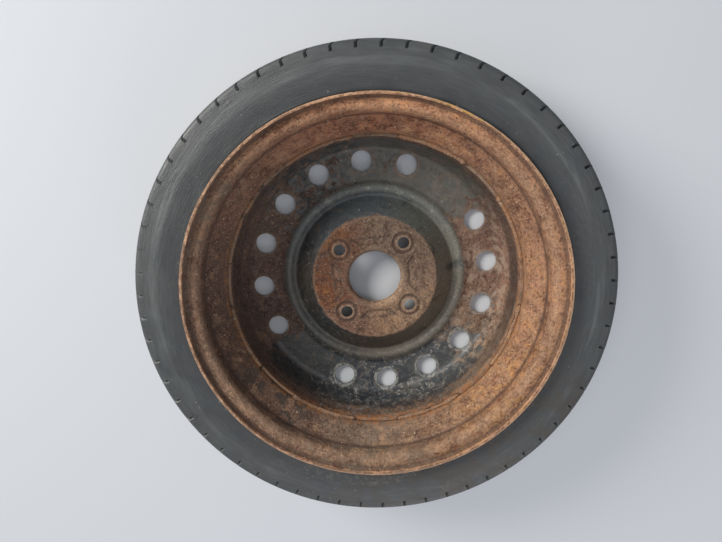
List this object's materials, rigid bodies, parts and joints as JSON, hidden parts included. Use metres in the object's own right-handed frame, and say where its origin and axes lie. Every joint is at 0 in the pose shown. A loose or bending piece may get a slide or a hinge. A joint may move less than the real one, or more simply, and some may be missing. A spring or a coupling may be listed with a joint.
{
  "type": "spare wheel",
  "caption": "Narrow temporary spare wheel: tyre on a rusty pressed steel wheel with vents, a centring bore and stud holes, shown dish side up.",
  "frame": {"origin": "on the wheel's axis, in the face of the disc that bears on the hub", "axes": "+Z along the axis towards the inboard side, the way the hub leaves; +X and +Y are the picture's right and up; the wheel lies on its outboard lip"},
  "size_m": [0.555, 0.555, 0.1234],
  "materials": {
    "tyre": "weathered black rubber",
    "rim_steel": "rusted all over, traces of black paint",
    "disc_steel": "black paint, rusted through in patches",
    "weld": "rusted weld bead",
    "boot_rubber": "matt moulded rubber",
    "brass": "dull turned brass",
    "gasket": "red fluoroplastic",
    "spring_steel": "drawn wire",
    "seal_rubber": "black rubber",
    "cap_plastic": "black moulded plastic"
  },
  "bodies": {
    "wheel": {"tyre": "tyre", "rim": "rim_steel", "disc": "disc_steel", "disc_welds": "weld", "valve_boot": "boot_rubber", "valve_stem": "brass", "core_plug": "brass", "core_gasket": "gasket", "core_barrel": "brass", "core_spring": "spring_steel"},
    "core": {"core_pin": "brass", "core_cup": "brass", "core_seal": "seal_rubber"},
    "washer": {"cap_seal": "seal_rubber"},
    "cap": {"valve_cap": "cap_plastic"}
  },
  "joints": [
    {"name": "core_press", "type": "slide", "parent": "wheel", "child": "core", "axis": [-0.2952, -0.3724, 0.8799], "range_m": [0, 0.0015], "stiffness_N_per_m": 1200, "springref_m": -0.003, "deforming": ["core_spring"]},
    {"name": "cap_lift", "type": "slide", "parent": "wheel", "child": "washer", "axis": [0.2952, 0.3724, -0.8799], "range_m": [0, 0.00794]},
    {"name": "cap_turn", "type": "hinge", "parent": "washer", "child": "cap", "pos_m": [-0.10967, -0.13837, -0.01464], "axis": [0.2952, 0.3724, -0.8799], "range_deg": [0, 3600]}
  ],
  "couplings": [
    {"joint": "cap_turn", "follows": "cap_lift", "rad_per_m": 7913.3}
  ]
}
